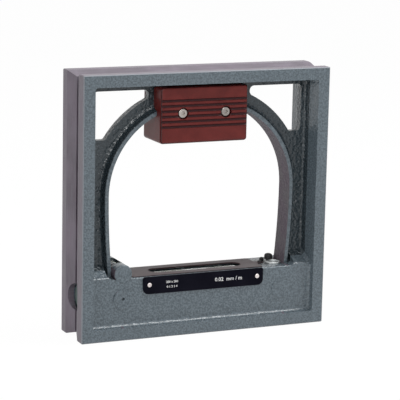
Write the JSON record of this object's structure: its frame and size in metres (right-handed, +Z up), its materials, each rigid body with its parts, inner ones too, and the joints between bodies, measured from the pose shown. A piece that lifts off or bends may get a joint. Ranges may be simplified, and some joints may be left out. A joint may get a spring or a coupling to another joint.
{
  "type": "frame level",
  "caption": "Square cast-iron frame level for setting machines: a long main vial in the base, a cross vial, V grooves and a moulded hand grip.",
  "frame": {"origin": "middle of the base, at the height of the flat lips it stands on", "axes": "+X along the base towards the zero adjuster, +Y through the frame to the back, +Z up"},
  "size_m": [0.2, 0.044, 0.2],
  "materials": {
    "cast_frame": "grey hammertone enamel, ground iron on the outer faces",
    "grip_plastic": "red-brown moulded phenolic, ribbed",
    "plated_steel": "plated and turned",
    "black_cover": "brown-black enamel",
    "black_steel": "blackened steel",
    "name_plate": "black enamel with plain light numbers",
    "bright_screws": "bright slotted heads",
    "carrier_brass": "turned brass",
    "saddle_black": "matt black",
    "vial_glass": "clear ground glass with black graduations",
    "vial_spirit": "clear spirit with a bubble",
    "vial_plaster": "set plaster",
    "adjuster_ring": "plated turned ring",
    "cross_caps": "enamelled with the frame",
    "side_plug": "grey-green enamel"
  },
  "bodies": {
    "frame": {"frame_casting": "cast_frame", "grip_front": "grip_plastic", "grip_back": "grip_plastic", "grip_screws": "plated_steel", "grip_nuts": "plated_steel", "vial_cover": "black_cover", "cover_screw": "black_steel", "name_plate": "name_plate", "plate_screws": "bright_screws", "pivot_pin": "cross_caps", "adjuster_bushing": "plated_steel", "cross_vial_glass": "vial_glass", "cross_vial_spirit": "vial_spirit", "cross_vial_stoppers": "vial_plaster", "cross_cap_front": "cross_caps", "cross_cap_back": "cross_caps", "side_plug": "side_plug", "lock_screw": "black_steel", "small_lock_screw": "black_steel"},
    "vial_carrier": {"carrier_bar": "carrier_brass", "vial_saddle": "saddle_black", "saddle_screws": "plated_steel", "main_vial_glass": "vial_glass", "main_vial_spirit": "vial_spirit", "main_vial_plugs": "vial_plaster"},
    "adjuster": {"adjusting_screw": "adjuster_ring", "adjuster_collar": "plated_steel"}
  },
  "joints": [
    {"name": "adjuster_turn", "type": "hinge", "parent": "frame", "child": "adjuster", "pos_m": [0.0654, -0.0026, 0.046], "axis": [0, 0, 1], "range_deg": [-360, 360]},
    {"name": "carrier_tilt", "type": "hinge", "parent": "frame", "child": "vial_carrier", "pos_m": [-0.0654, 0, 0.0308], "axis": [0, 1, 0], "range_deg": [-0.217, 0.217]}
  ],
  "couplings": [
    {"joint": "adjuster_turn", "follows": "carrier_tilt", "ratio": 1643.7}
  ]
}
